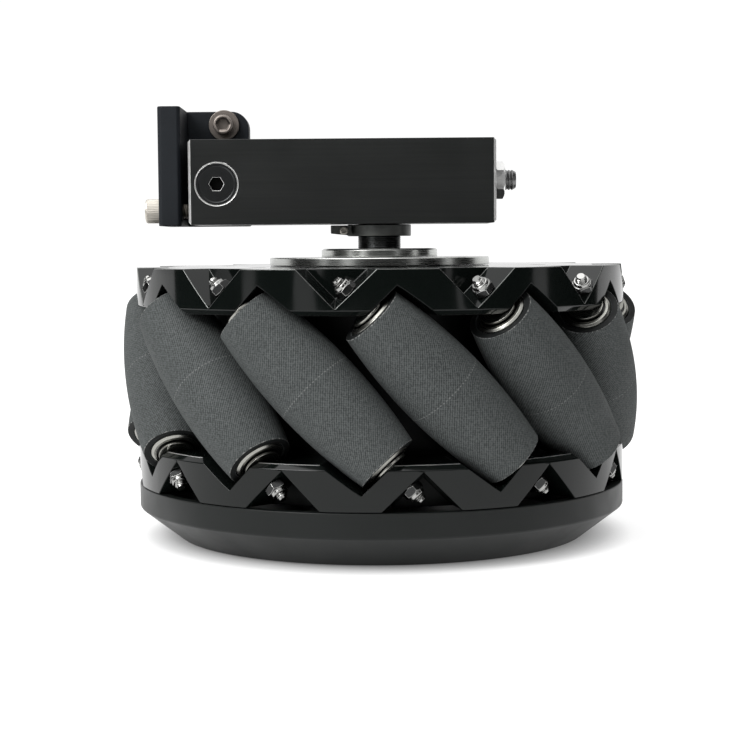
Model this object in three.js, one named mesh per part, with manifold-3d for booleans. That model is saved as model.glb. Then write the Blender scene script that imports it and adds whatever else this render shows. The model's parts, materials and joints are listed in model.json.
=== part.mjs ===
// A mecanum wheel corner of a robot chassis: a wheel with a motor in its hub, twelve barrel
// rollers set at 45 degrees, the arm that holds the wheel's shaft, and the bracket that the arm
// swings on. Millimetres, +Z up along the wheel's axis. The origin is the centre of the flat
// outer cover that the wheel rests on here, +X points along the arm away from the bracket, and
// -Y is the side of the pivot screw's head.
import * as THREE from "three";
import { mergeVertices } from "three/addons/utils/BufferGeometryUtils.js";
import Module from "manifold-3d";

const wasm = await Module();
wasm.setup();

// Driving dimensions: the wheel
const WHEEL_R = 101.5;          // over the rollers, an 8 inch wheel
const WHEEL_WIDTH = 84;         // over the two rims
const COVER_HEIGHT = 21.4;      // from the resting face up to the outer rim
const RIM_R = 96;
const RIM_BAND = 16.2;          // height of each rim's toothed band
const RIM_WEB = 6;              // thickness of each rim's inner web
const RIM_BORE_R = 30;
const FACE_GAP = 0.3;           // between pieces that touch
const ROLLERS = 12;
const PITCH = 2 * Math.PI / ROLLERS;
const TILT = Math.PI / 4;       // of each roller against the wheel's axis
const FIRST_ROLLER = THREE.MathUtils.degToRad(-15.79);
const ROLLER_AXIS_R = 86;
const CONTACT_HALF = 34.2;      // half of the stretch of a roller that can touch the ground
const CORE_R = 9.2;
const CORE_BORE_R = 2.4;
const CORE_STICK_OUT = 0.7;     // of the core beyond the rubber
const AXLE_R = 2;               // M4
const AXLE_HOLE_R = 2.45;
const SPACER_R = 6.6;
const WALL_IN = 38.8;           // a rim wall's faces, counted along the roller's axle
const WALL_OUT = 47.6;
const NUT_M4 = { flats: 7, height: 4.2, hexHeight: 2.9, collarR: 3 };   // with a round collar
const AXLE_END = 54.2;
const NOTCH_SIDE = 12.7;        // from the axle to the notch's side, where it meets the wall
const NOTCH_FLARE = Math.tan(THREE.MathUtils.degToRad(9));
const NOTCH_FLOOR_R = 72.5;
const POCKET_SIDE = 26.9;       // from the neighbouring roller's axle to the pocket's far side
const POCKET_FLOOR_R = 84;
const BAND_CHAMFER = 1.8;
const COVER_FLAT_R = 80.5;
const COVER_RIM_HEIGHT = 9.35;  // height of the cover's straight edge
const COVER_WALL = 4;

// Driving dimensions: the hub and its motor
const DRUM_R = 66;
const DRUM_WALL = 4.5;
const MAGNET_THICKNESS = 4;
const STACK_HALF = 16;          // half of the motor's active length
const AIR_GAP = 1;
const STATOR_BORE_R = 20;
const TEETH = 12;
const TOOTH_ROOT_R = 30;
const TOOTH_HALF_ANGLE = 0.09;
const TOOTH_TIP_HALF_ANGLE = 0.2;
const TOOTH_TIP = 4;
const COIL_R = 4;
const COIL_RING = { inner: 33, outer: 48, height: 6, sides: 16 };
const SHAFT_R = 8.5;
const SHAFT_BORE_R = 3.2;       // wire passage
const BEARING = { outer: 17.5, width: 10 };   // a 17 x 35 x 10 bearing
const RUNNING_GAP = 0.3;
const END_COVER_R = 43.5;
const END_COVER_FLANGE = 3;
const CAP_R = 23;
const CAP_HEIGHT = 3.1;

// Driving dimensions: the collar, arm and bracket, heights counted from the inner rim's face
const COLLAR = { low: 11.6, high: 16.1, outer: 12.6, lugEnd: 19.2, lugHalf: 6 };
const ARM = { left: -74.1, right: 45.4, half: 17, low: 16.4, high: 49.3, chamfer: 1 };
const SHAFT_END = 46;
const PIVOT = { x: -63.1, up: 32.1 };
const PIVOT_HEAD_R = 8.25;      // M8 countersunk
const PIVOT_SHANK_R = 4;
const BUSH = { inner: 4.3, outer: 6.2, front: -12.0 };
const BRACKET = { left: -86.3, plate: 8.95, low: 16.1, high: 62.6, front: -12, back: 26.5 };
const LUG = { front: 17.5, right: -52.6, cornerR: 7 };
const JACK = { up: 22.1, headR: 4.8, headHeight: 6, shankR: 3, holeR: 3.3 };
const LUG_SCREW = { x: -62.6, up: 57, headR: 4, headHeight: 5, shankR: 2.5, holeR: 2.8 };
const LUG_WASHER = { outer: 6.15, thickness: 1 };
const STUD = { r: 4, end: 54.2, up: 33.4, holeR: 4.35 };
const LOCK_NUT = { flats: 13, height: 4.1 };

// Heights worked out from these
const MID_Z = COVER_HEIGHT + WHEEL_WIDTH / 2;
const TOP_Z = COVER_HEIGHT + WHEEL_WIDTH;
const HALF_WIDTH = WHEEL_WIDTH / 2;
const BAND_Z = HALF_WIDTH - RIM_BAND;         // the band's roller side, above the mid-plane
const PIVOT_Z = TOP_Z + PIVOT.up;
const ARM_BACK = ARM.half;
const ROUND = 48;               // sides of the large rounds
const ROUND_MID = 24;
const ROUND_SMALL = 8;
const FAR = 60;                 // past the edge of anything being cut

const COLOURS = {
  rubber: [0x3a3c3f, 0.9, 0], rim: [0x0d0f0f, 0.12, 0.6], cover: [0x232527, 0.45, 0.4],
  drum: [0x101212, 0.2, 0.7], steel: [0xb9bab8, 0.25, 1], zinc: [0xc9cbcc, 0.2, 1],
  copper: [0xb06a3a, 0.35, 1], iron: [0x55565a, 0.5, 0.9], magnet: [0x77797c, 0.3, 0.9],
  bronze: [0xa98544, 0.35, 1], arm: [0x1d1e1f, 0.4, 0.6], bracket: [0x2a2d33, 0.6, 0.4],
  cap: [0x3c3f40, 0.2, 0.9], dark: [0x2c2e30, 0.3, 0.9], stainless: [0xc3beb6, 0.25, 1],
};

// Helpers: making a shape, joining and cutting, and placing a finished piece
function shapeOf(points) {
  return new THREE.Shape(points.map(([x, y]) => new THREE.Vector2(x, y)));
}

function lathe(profile, sides) {
  const outline = profile.map(([r, z]) => new THREE.Vector2(r, z));
  return new THREE.LatheGeometry(outline, sides).rotateX(Math.PI / 2);
}

function cylinder(r, low, high, sides = ROUND_SMALL) {
  return lathe([[0, low], [r, low], [r, high], [0, high]], sides);
}

function ring(inner, outer, low, high, sides = ROUND_MID) {
  return lathe([[inner, low], [outer, low], [outer, high], [inner, high], [inner, low]], sides);
}

// A flat outline in X and Y, made solid from one height to another
function prism(points, low, high) {
  const depth = high - low;
  return new THREE.ExtrudeGeometry(shapeOf(points), { depth, bevelEnabled: false })
    .translate(0, 0, low);
}

function hexagon(flats, low, high) {
  const r = flats / Math.sqrt(3);
  const corner = (k) => [r * Math.cos(k * Math.PI / 3), r * Math.sin(k * Math.PI / 3)];
  return prism([0, 1, 2, 3, 4, 5].map(corner), low, high);
}

function box(x0, x1, y0, y1, z0, z1) {
  return new THREE.BoxGeometry(x1 - x0, y1 - y0, z1 - z0)
    .translate((x0 + x1) / 2, (y0 + y1) / 2, (z0 + z1) / 2);
}

function solid(geometry) {
  const bare = geometry.clone();
  bare.deleteAttribute("normal");
  bare.deleteAttribute("uv");
  const merged = mergeVertices(bare, 1e-4);
  const vertProperties = new Float32Array(merged.attributes.position.array);
  const triVerts = new Uint32Array(merged.index.array);
  return new wasm.Manifold(new wasm.Mesh({ numProp: 3, vertProperties, triVerts }));
}

function geometryOf(manifold) {
  const mesh = manifold.getMesh();
  const geometry = new THREE.BufferGeometry();
  geometry.setAttribute("position", new THREE.BufferAttribute(mesh.vertProperties, 3));
  geometry.setIndex(new THREE.BufferAttribute(mesh.triVerts, 1));
  return geometry;
}

function cut(body, tools) {
  return geometryOf(tools.reduce((left, tool) => left.subtract(solid(tool)), solid(body)));
}

function join(...pieces) {
  return geometryOf(pieces.map(solid).reduce((all, piece) => all.add(piece)));
}

// Turned so that the shape's own Z runs along +X or along +Y
const alongX = (geometry) => geometry.rotateY(Math.PI / 2);
const alongY = (geometry) => geometry.rotateX(-Math.PI / 2);

const part = new THREE.Group();

function add(name, geometry, [color, roughness, metalness], parent = part) {
  const material = new THREE.MeshStandardMaterial({ color, roughness, metalness });
  const mesh = new THREE.Mesh(geometry, material);
  mesh.name = name;
  parent.add(mesh);
  return mesh;
}

// Places around the wheel. At station 0 the roller's middle is on the -Y side, and its upper end
// leans towards -X by the tilt.
function station(angle) {
  const group = new THREE.Group();
  group.position.z = MID_Z;
  group.rotation.z = angle;
  part.add(group);
  return group;
}

// A roller's surface: the circle that its widest turn and the wheel's own cylinder share
function rollerProfile(steps) {
  const outline = [];
  for (let i = 0; i <= steps; i++) {
    const along = CONTACT_HALF * (2 * i / steps - 1);
    const side = along * Math.sin(TILT);
    const rho = Math.hypot(ROLLER_AXIS_R, side);
    const reach = WHEEL_R - rho;
    const lean = side / rho * Math.sin(TILT);
    outline.push([reach * Math.sqrt(1 - lean * lean), along + reach * lean]);
  }
  return outline;
}

const TYRE_STEPS = 6;
const TYRE_SIDES = 14;
const TYRE_OUTLINE = rollerProfile(TYRE_STEPS);
const TYRE_HALF = TYRE_OUTLINE[TYRE_STEPS][1];

function tyreGeometry() {
  const bore = CORE_R + FACE_GAP;
  const closed = [[bore, -TYRE_HALF], ...TYRE_OUTLINE, [bore, TYRE_HALF], [bore, -TYRE_HALF]];
  return lathe(closed, TYRE_SIDES);
}

function coreGeometry() {
  const end = TYRE_HALF + CORE_STICK_OUT;
  return ring(CORE_BORE_R, CORE_R, -end, end, TYRE_SIDES);
}

// The axle: a bolt with a spacer inside each rim wall and a nut outside it
function axleGeometry() {
  const spacerLow = TYRE_HALF + CORE_STICK_OUT + FACE_GAP;
  const spacerHigh = WALL_IN - FACE_GAP;
  const nutLow = WALL_OUT + FACE_GAP;
  const hexHigh = nutLow + NUT_M4.hexHeight;
  const nutHigh = nutLow + NUT_M4.height;
  const collarLow = (nutLow + hexHigh) / 2;
  const upper = [[AXLE_R, spacerLow], [SPACER_R, spacerLow], [SPACER_R, spacerHigh],
    [AXLE_R, spacerHigh], [AXLE_R, collarLow], [NUT_M4.collarR, collarLow],
    [NUT_M4.collarR, nutHigh], [AXLE_R, nutHigh], [AXLE_R, AXLE_END], [0, AXLE_END]];
  const lower = upper.map(([r, z]) => [r, -z]).reverse();
  const nut = hexagon(NUT_M4.flats, nutLow, hexHigh);
  const lowNut = hexagon(NUT_M4.flats, -hexHigh, -nutLow);
  return join(lathe([...lower, ...upper], ROUND_SMALL), nut, lowNut);
}

// Cutting tools for the rims. A tool is drawn along the roller's axle and across it, and is
// drilled through from the outside towards the wheel's axis.
function acrossTool(points, inner) {
  const turned = points.map(([along, across]) => [
    across * Math.cos(TILT) - along * Math.sin(TILT),
    across * Math.sin(TILT) + along * Math.cos(TILT)]);
  return prism(turned, inner, WHEEL_R + FAR).rotateX(Math.PI / 2);
}

function notchTool() {
  const reach = WALL_IN + FAR;
  return acrossTool([[WALL_IN, NOTCH_SIDE], [WALL_IN - reach, NOTCH_SIDE + reach * NOTCH_FLARE],
    [WALL_IN - reach, -FAR], [WALL_IN, -FAR]], NOTCH_FLOOR_R);
}

function axleHoleTool() {
  return cylinder(AXLE_HOLE_R, WALL_IN - 1, WALL_OUT + 1)
    .rotateY(-TILT).translate(0, -ROLLER_AXIS_R, 0);
}

// A pocket has one side square to this roller's axle and one side along the last roller's axle
function pocketTool() {
  const square = solid(acrossTool(
    [[WALL_OUT, FAR], [WALL_OUT, -FAR], [WALL_OUT + FAR, -FAR], [WALL_OUT + FAR, FAR]], FAR));
  const along = solid(acrossTool(
    [[FAR, FAR * 2], [-FAR, FAR * 2], [-FAR, POCKET_SIDE], [FAR, POCKET_SIDE]], FAR)
    .rotateZ(-PITCH));
  const floor = solid(cylinder(POCKET_FLOOR_R, -FAR, FAR, ROUND));
  return geometryOf(square.intersect(along).subtract(floor));
}

function rimGeometry() {
  const inner = DRUM_R + FACE_GAP;
  const webLow = HALF_WIDTH - RIM_WEB;
  const profile = [[RIM_BORE_R, webLow], [inner, webLow], [inner, BAND_Z],
    [RIM_R - BAND_CHAMFER, BAND_Z], [RIM_R, BAND_Z + BAND_CHAMFER], [RIM_R, HALF_WIDTH],
    [RIM_BORE_R, HALF_WIDTH], [RIM_BORE_R, webLow]];
  const tools = [notchTool(), pocketTool(), axleHoleTool()];
  const around = [];
  for (let k = 0; k < ROLLERS; k++) {
    around.push(...tools.map((tool) => tool.clone().rotateZ(k * PITCH)));
  }
  return cut(lathe(profile, ROUND), around);
}

function addRollers() {
  const tyre = tyreGeometry();
  const core = coreGeometry();
  const axle = axleGeometry();
  for (let k = 0; k < ROLLERS; k++) {
    const number = String(k + 1).padStart(2, "0");
    const place = station(FIRST_ROLLER + k * PITCH);
    for (const [name, geometry, colour] of [["roller_tyre", tyre, COLOURS.rubber],
      ["roller_core", core, COLOURS.steel], ["roller_axle", axle, COLOURS.zinc]]) {
      const mesh = add(`${name}_${number}`, geometry, colour, place);
      mesh.position.y = -ROLLER_AXIS_R;
      mesh.rotation.y = -TILT;
    }
  }
}

// The outer rim is the inner rim turned half a turn about a roller's radial line
function addRims() {
  const rim = rimGeometry();
  add("inner_rim", rim, COLOURS.rim, station(FIRST_ROLLER));
  add("outer_rim", rim, COLOURS.rim, station(FIRST_ROLLER)).rotation.y = Math.PI;
}

function addWheelCover() {
  const high = COVER_HEIGHT - FACE_GAP;
  const bevelTop = COVER_HEIGHT - COVER_RIM_HEIGHT;
  const profile = [[0, 0], [COVER_FLAT_R, 0], [RIM_R, bevelTop], [RIM_R, high],
    [RIM_R - COVER_WALL, high], [RIM_R - COVER_WALL, bevelTop + COVER_WALL / 2],
    [COVER_FLAT_R - COVER_WALL / 2, COVER_WALL], [0, COVER_WALL]];
  add("wheel_cover", lathe(profile, ROUND), COLOURS.cover);
}

// The motor's turning shell: drum and magnets
function addRotor(mid) {
  const drumHalf = HALF_WIDTH - RIM_WEB - FACE_GAP;
  const drumBore = DRUM_R - DRUM_WALL;
  const magnetR = drumBore - FACE_GAP;
  add("hub_drum", ring(drumBore, DRUM_R, -drumHalf, drumHalf, ROUND), COLOURS.drum, mid);
  add("magnet_ring", ring(magnetR - MAGNET_THICKNESS, magnetR, -STACK_HALF, STACK_HALF),
    COLOURS.magnet, mid);
}

function statorR() {
  return DRUM_R - DRUM_WALL - FACE_GAP - MAGNET_THICKNESS - AIR_GAP;
}

// Laminated stack: a ring with T-shaped teeth
function statorOutline() {
  const outer = statorR();
  const polar = (r, angle) => [r * Math.cos(angle), r * Math.sin(angle)];
  const points = [];
  for (let k = 0; k < TEETH; k++) {
    const centre = k * 2 * Math.PI / TEETH;
    const side = (sign) => [
      polar(TOOTH_ROOT_R, centre + sign * TOOTH_HALF_ANGLE * outer / TOOTH_ROOT_R / 1.5),
      polar(outer - TOOTH_TIP, centre + sign * TOOTH_HALF_ANGLE),
      polar(outer - TOOTH_TIP / 2, centre + sign * TOOTH_TIP_HALF_ANGLE),
      polar(outer, centre + sign * TOOTH_TIP_HALF_ANGLE)];
    points.push(...side(-1), polar(outer, centre), ...side(1).reverse());
  }
  return points;
}

// Copper: a ring of end turns above and below the stack, tied through every slot
function windingGeometry() {
  const low = STACK_HALF + FACE_GAP;
  const high = low + COIL_RING.height;
  const turns = ring(COIL_RING.inner, COIL_RING.outer, low, high, COIL_RING.sides);
  const pieces = [turns, turns.clone().translate(0, 0, -low - high)];
  const slotR = (COIL_RING.inner + COIL_RING.outer) / 2;
  for (let k = 0; k < TEETH; k++) {
    const angle = (k + 0.5) * 2 * Math.PI / TEETH;
    pieces.push(cylinder(COIL_R, -low - 1, low + 1, 6)
      .translate(slotR * Math.cos(angle), slotR * Math.sin(angle), 0));
  }
  return join(...pieces);
}

function addStator(mid) {
  const bore = cylinder(STATOR_BORE_R, -FAR, FAR, ROUND_MID);
  const stack = cut(prism(statorOutline(), -STACK_HALF, STACK_HALF), [bore]);
  add("stator_core", stack, COLOURS.iron, mid);
  add("stator_windings", windingGeometry(), COLOURS.copper, mid);
}

// The fixed shaft, thicker where it carries the stator, with a wire passage from its free end
function addShaft(mid) {
  const top = TOP_Z + SHAFT_END - MID_Z;
  const bottom = -HALF_WIDTH - END_COVER_FLANGE;
  const carrier = STATOR_BORE_R - FACE_GAP;
  add("main_shaft", lathe([[0, bottom], [SHAFT_R, bottom], [SHAFT_R, -STACK_HALF],
    [carrier, -STACK_HALF], [carrier, STACK_HALF], [SHAFT_R, STACK_HALF], [SHAFT_R, top],
    [SHAFT_BORE_R, top], [SHAFT_BORE_R, 0], [0, 0]], ROUND_MID), COLOURS.dark, mid);
}

// A flanged bearing housing that drops into a rim's bore
function endCoverGeometry() {
  const seat = BEARING.outer + FACE_GAP;
  const under = HALF_WIDTH + FACE_GAP;
  const high = under + END_COVER_FLANGE;
  const bevel = 1.8;
  const lip = under - BEARING.width;
  const neck = RIM_BORE_R - FACE_GAP;
  const lipBore = SHAFT_R + 4;
  return lathe([[lipBore, lip - 2], [neck, lip - 2], [neck, under], [END_COVER_R, under],
    [END_COVER_R, high - bevel], [END_COVER_R - bevel * 1.6, high], [seat, high],
    [seat, lip], [lipBore, lip], [lipBore, lip - 2]], ROUND_MID);
}

function bearingGeometry() {
  const low = HALF_WIDTH - BEARING.width + 2 * FACE_GAP;
  return ring(SHAFT_R + FACE_GAP, BEARING.outer, low, low + BEARING.width, ROUND_MID);
}

function addBearingsAndCovers(mid) {
  const endCover = endCoverGeometry();
  const bearing = bearingGeometry();
  add("inner_end_cover", endCover, COLOURS.cap, mid);
  add("outer_end_cover", endCover, COLOURS.cap, mid).rotation.y = Math.PI;
  add("inner_bearing", bearing, COLOURS.steel, mid);
  add("outer_bearing", bearing, COLOURS.steel, mid).rotation.y = Math.PI;
  const low = HALF_WIDTH + 2 * FACE_GAP + END_COVER_FLANGE;
  const high = low + CAP_HEIGHT;
  const bore = SHAFT_R + RUNNING_GAP;
  add("bearing_cap", lathe([[bore, low], [CAP_R, low], [CAP_R, low + 1.3], [CAP_R - 3, high],
    [bore, high], [bore, low]], ROUND_MID), COLOURS.cap, mid);
}

// The clamp collar that the arm sits on, with its lug and its small cross screw
function addCollar() {
  const low = TOP_Z + COLLAR.low;
  const high = TOP_Z + COLLAR.high;
  const slit = 0.8;
  const lug = box(-COLLAR.lugEnd, 0, -COLLAR.lugHalf, COLLAR.lugHalf, low, high);
  const body = join(cylinder(COLLAR.outer, low, high, ROUND_MID), lug);
  const screwX = (-COLLAR.lugEnd - SHAFT_R - FACE_GAP) / 2;
  const screwZ = (low + high) / 2;
  const screwHole = alongY(cylinder(1.3, -FAR, FAR)).translate(screwX, 0, screwZ);
  const bore = cylinder(SHAFT_R + FACE_GAP, low - 1, high + 1, ROUND_MID);
  const gap = box(-FAR, 0, -slit / 2, slit / 2, low - 1, high + 1);
  add("shaft_collar", cut(body, [bore, gap, screwHole]), COLOURS.dark);
  const headLow = -COLLAR.lugHalf - FACE_GAP;
  const screw = [[0, headLow - 2], [1.8, headLow - 2], [1.8, headLow], [1, headLow],
    [1, COLLAR.lugHalf], [0, COLLAR.lugHalf]];
  add("collar_screw", alongY(lathe(screw, ROUND_SMALL)).translate(screwX, 0, screwZ),
    COLOURS.stainless);
}

// The swing arm: a square bar with bevelled ends, bored for the shaft, stud and pivot
function addArm() {
  const length = ARM.right - ARM.left - 2 * ARM.chamfer;
  const height = ARM.high - ARM.low - 2 * ARM.chamfer;
  const width = 2 * (ARM.half - ARM.chamfer);
  const bevel = { depth: length, bevelSize: ARM.chamfer, bevelThickness: ARM.chamfer,
    bevelSegments: 1 };
  const section = shapeOf([[-height / 2, -width / 2], [height / 2, -width / 2],
    [height / 2, width / 2], [-height / 2, width / 2]]);
  const midZ = TOP_Z + (ARM.high + ARM.low) / 2;
  const bar = alongX(new THREE.ExtrudeGeometry(section, bevel))
    .translate(ARM.left + ARM.chamfer, 0, midZ);
  const bore = cylinder(SHAFT_R + RUNNING_GAP, 0, TOP_Z + ARM.high + 1, ROUND_MID);
  const studHole = alongX(cylinder(STUD.holeR, 0, FAR, ROUND_SMALL + 4))
    .translate(0, 0, TOP_Z + STUD.up);
  const sink = PIVOT_HEAD_R + FACE_GAP;
  const pivotHole = alongY(lathe([[0, -ARM.half - 1], [sink, -ARM.half - 1], [sink, -ARM.half],
    [BUSH.inner, BUSH.front - 0.75], [BUSH.outer + FACE_GAP, BUSH.front - 0.75],
    [BUSH.outer + FACE_GAP, ARM_BACK + 1], [0, ARM_BACK + 1]], ROUND_MID))
    .translate(PIVOT.x, 0, PIVOT_Z);
  add("swing_arm", cut(bar, [bore, studHole, pivotHole]), COLOURS.arm);
  add("pivot_bush", alongY(ring(BUSH.inner, BUSH.outer, BUSH.front, ARM_BACK - FACE_GAP))
    .translate(PIVOT.x, 0, PIVOT_Z), COLOURS.bronze);
}

// The set stud that holds the shaft, and its lock nut on the arm's end
function addStudAndNut() {
  const start = SHAFT_R + RUNNING_GAP + FACE_GAP;
  const bevel = 0.8;
  const z = TOP_Z + STUD.up;
  const profile = [[0, start], [STUD.r, start], [STUD.r, STUD.end - bevel],
    [STUD.r - bevel, STUD.end], [0, STUD.end]];
  add("clamp_stud", alongX(lathe(profile, ROUND_SMALL + 4)).translate(0, 0, z), COLOURS.dark);
  const low = ARM.right + FACE_GAP;
  const bore = cylinder(STUD.holeR, 0, FAR + FAR, ROUND_SMALL + 4);
  const nut = cut(hexagon(LOCK_NUT.flats, low, low + LOCK_NUT.height), [bore]);
  add("lock_nut", alongX(nut).translate(0, 0, z), COLOURS.zinc);
}

// The chassis bracket: a plate beside the arm's end and a lug behind the arm
function lugOutline(low, high) {
  const points = [[BRACKET.left, low], [LUG.right, low]];
  const steps = 5;
  for (let i = 0; i <= steps; i++) {
    const angle = i / steps * Math.PI / 2;
    points.push([LUG.right + LUG.cornerR * (Math.cos(angle) - 1),
      high + LUG.cornerR * (Math.sin(angle) - 1)]);
  }
  points.push([BRACKET.left, high]);
  return points;
}

function addBracket() {
  const low = TOP_Z + BRACKET.low;
  const high = TOP_Z + BRACKET.high;
  const edge = 1.2;
  const right = BRACKET.left + BRACKET.plate;
  const plate = prism([[BRACKET.left, BRACKET.back], [BRACKET.left, BRACKET.front + edge],
    [BRACKET.left + edge, BRACKET.front], [right - edge, BRACKET.front],
    [right, BRACKET.front + edge], [right, BRACKET.back]], low, high);
  const lug = prism(lugOutline(low, high), -BRACKET.back, -LUG.front).rotateX(Math.PI / 2);
  const body = join(plate, lug);
  const jackHole = alongX(cylinder(JACK.holeR, -FAR * 2, 0)).translate(0, 0, TOP_Z + JACK.up);
  const pivotHole = alongY(cylinder(PIVOT_SHANK_R + FACE_GAP, 0, FAR, ROUND_SMALL + 4))
    .translate(PIVOT.x, 0, PIVOT_Z);
  const lugHole = alongY(cylinder(LUG_SCREW.holeR, 0, FAR))
    .translate(LUG_SCREW.x, 0, TOP_Z + LUG_SCREW.up);
  add("chassis_bracket", cut(body, [jackHole, pivotHole, lugHole]), COLOURS.bracket);
}

// A cap screw drawn with the seat of its head at 0 and its point ahead, with a hexagon socket
function capScrew({ headR, headHeight, shankR }, length) {
  const bevel = 0.6;
  const body = lathe([[0, -headHeight], [headR - bevel, -headHeight],
    [headR, -headHeight + bevel], [headR, 0], [shankR, 0], [shankR, length - bevel],
    [shankR - bevel, length], [0, length]], ROUND_SMALL + 4);
  return cut(body, [hexagon(shankR * 5 / 3, -headHeight - 1, -headHeight / 2)]);
}

function addBracketScrews() {
  const jackSeat = BRACKET.left - FACE_GAP;
  const jackLength = ARM.left - FACE_GAP - jackSeat;
  add("jack_screw", alongX(capScrew(JACK, jackLength))
    .translate(jackSeat, 0, TOP_Z + JACK.up), COLOURS.stainless);

  const washerLow = LUG.front - FACE_GAP - LUG_WASHER.thickness;
  const place = [LUG_SCREW.x, 0, TOP_Z + LUG_SCREW.up];
  const washer = ring(LUG_SCREW.holeR, LUG_WASHER.outer, washerLow,
    washerLow + LUG_WASHER.thickness, ROUND_SMALL * 2);
  add("lug_washer", alongY(washer).translate(...place), COLOURS.stainless);
  const seat = washerLow - FACE_GAP;
  add("lug_screw", alongY(capScrew(LUG_SCREW, BRACKET.back - seat).translate(0, 0, seat))
    .translate(...place), COLOURS.stainless);

  const headTop = -ARM.half + 0.1;
  const headLow = headTop + PIVOT_HEAD_R - PIVOT_SHANK_R;
  const body = lathe([[0, headTop], [PIVOT_HEAD_R, headTop], [PIVOT_SHANK_R, headLow],
    [PIVOT_SHANK_R, BRACKET.back - FACE_GAP], [0, BRACKET.back - FACE_GAP]], ROUND_MID);
  const socket = hexagon(5, headTop - 1, headTop + 3);
  add("pivot_screw", alongY(cut(body, [socket])).translate(PIVOT.x, 0, PIVOT_Z), COLOURS.dark);
}

const middle = new THREE.Group();
middle.position.z = MID_Z;
part.add(middle);

addRollers();
addRims();
addWheelCover();
addRotor(middle);
addStator(middle);
addShaft(middle);
addBearingsAndCovers(middle);
addCollar();
addArm();
addStudAndNut();
addBracket();
addBracketScrews();

export default part;
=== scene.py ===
"""The looks of a mecanum wheel corner module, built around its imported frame."""
import json
import math

import bmesh
import bpy
from mathutils import Matrix, Vector


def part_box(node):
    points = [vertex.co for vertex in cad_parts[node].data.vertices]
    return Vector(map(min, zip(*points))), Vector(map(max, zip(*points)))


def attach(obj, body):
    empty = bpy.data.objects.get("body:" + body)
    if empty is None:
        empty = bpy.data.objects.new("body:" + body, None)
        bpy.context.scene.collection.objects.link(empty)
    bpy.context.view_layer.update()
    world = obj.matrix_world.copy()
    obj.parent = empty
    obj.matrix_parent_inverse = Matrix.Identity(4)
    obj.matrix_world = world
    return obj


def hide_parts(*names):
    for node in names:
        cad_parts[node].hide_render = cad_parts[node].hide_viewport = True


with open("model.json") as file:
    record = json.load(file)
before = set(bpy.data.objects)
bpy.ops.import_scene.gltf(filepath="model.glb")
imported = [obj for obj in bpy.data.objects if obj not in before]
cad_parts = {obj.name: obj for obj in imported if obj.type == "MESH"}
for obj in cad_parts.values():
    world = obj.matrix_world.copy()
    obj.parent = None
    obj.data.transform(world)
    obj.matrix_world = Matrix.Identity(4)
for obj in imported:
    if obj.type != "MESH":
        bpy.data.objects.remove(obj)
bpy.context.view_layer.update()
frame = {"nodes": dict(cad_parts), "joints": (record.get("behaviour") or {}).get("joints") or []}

# Every size below is in millimetres; meshes are scaled to metres when they are made.
MM = 0.001
JOINTS = {joint["name"]: joint for joint in frame["joints"]}
NUMBERS = [f"{k + 1:02d}" for k in range(12)]
TILT = math.radians(45)
PITCH = math.tau / len(NUMBERS)
GAP = 0.3


def box_mm(node):
    low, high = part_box(node)
    return Vector(low) / MM, Vector(high) / MM


# Places read from the frame
TOP = box_mm("inner_rim")[1].z
SEAM = box_mm("outer_rim")[0].z
MID = (TOP + SEAM) / 2
HALF = (TOP - SEAM) / 2
COVER_HIGH = box_mm("wheel_cover")[1]
ARM_LOW, ARM_HIGH = box_mm("swing_arm")
BRACKET_LOW, BRACKET_HIGH = box_mm("chassis_bracket")
COLLAR_LOW, COLLAR_HIGH = box_mm("shaft_collar")
CAP_LOW, CAP_HIGH = box_mm("bearing_cap")
END_LOW, END_HIGH = box_mm("inner_end_cover")
SHAFT_LOW, SHAFT_HIGH = box_mm("main_shaft")
JACK_LOW, JACK_HIGH = box_mm("jack_screw")
LUG_LOW, LUG_HIGH = box_mm("lug_screw")
LUG = (LUG_LOW + LUG_HIGH) / 2
WASHER_LOW, WASHER_HIGH = box_mm("lug_washer")
NUT_LOW, NUT_HIGH = box_mm("lock_nut")
STUD_LOW, STUD_HIGH = box_mm("clamp_stud")
PIVOT_LOW, PIVOT_HIGH = box_mm("pivot_screw")
PIVOT = (PIVOT_LOW + PIVOT_HIGH) / 2
DRUM_R = box_mm("hub_drum")[1].x

# Driving sizes that the frame's boxes don't give
WHEEL_R = 101.5
RIM_R = 96
RIM_BORE_R = 30
RIM_BAND = 16.2
RIM_WEB = 6
BAND_CHAMFER = 1.8
ROLLER_AXIS_R = 86
CONTACT_HALF = 34.2
WALL_IN = 38.8
WALL_OUT = 47.6
NOTCH_SIDE = 12.7
NOTCH_FLARE = math.tan(math.radians(9))
NOTCH_FLOOR_R = 72.5
POCKET_SIDE = 26.9
POCKET_FLOOR_R = 84
AXLE_HOLE_R = 2.45
AXLE_R = 2
AXLE_BORE_R = 2.15
AXLE_END = 54.2
SPACER_R = 6.6
CORE_R = 9.2
CORE_OUT = 0.7          # how far a core stands out of its tyre
SHAFT_R = 8.5
COVER_FLAT_R = 80.5
COVER_CREASE = 12.05
ARM_BEVEL = 1.0
STUD_R = 4
STUD_BORE_R = 4.35
JACK_HEAD_R = 4.8
JACK_HEAD = 6
JACK_BORE_R = 3.3
PIVOT_BORE_R = 4.3
LUG_BORE_R = 2.8
FAR = 60                # past everything that a cutting tool has to pass

BAND = HALF - RIM_BAND

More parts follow.
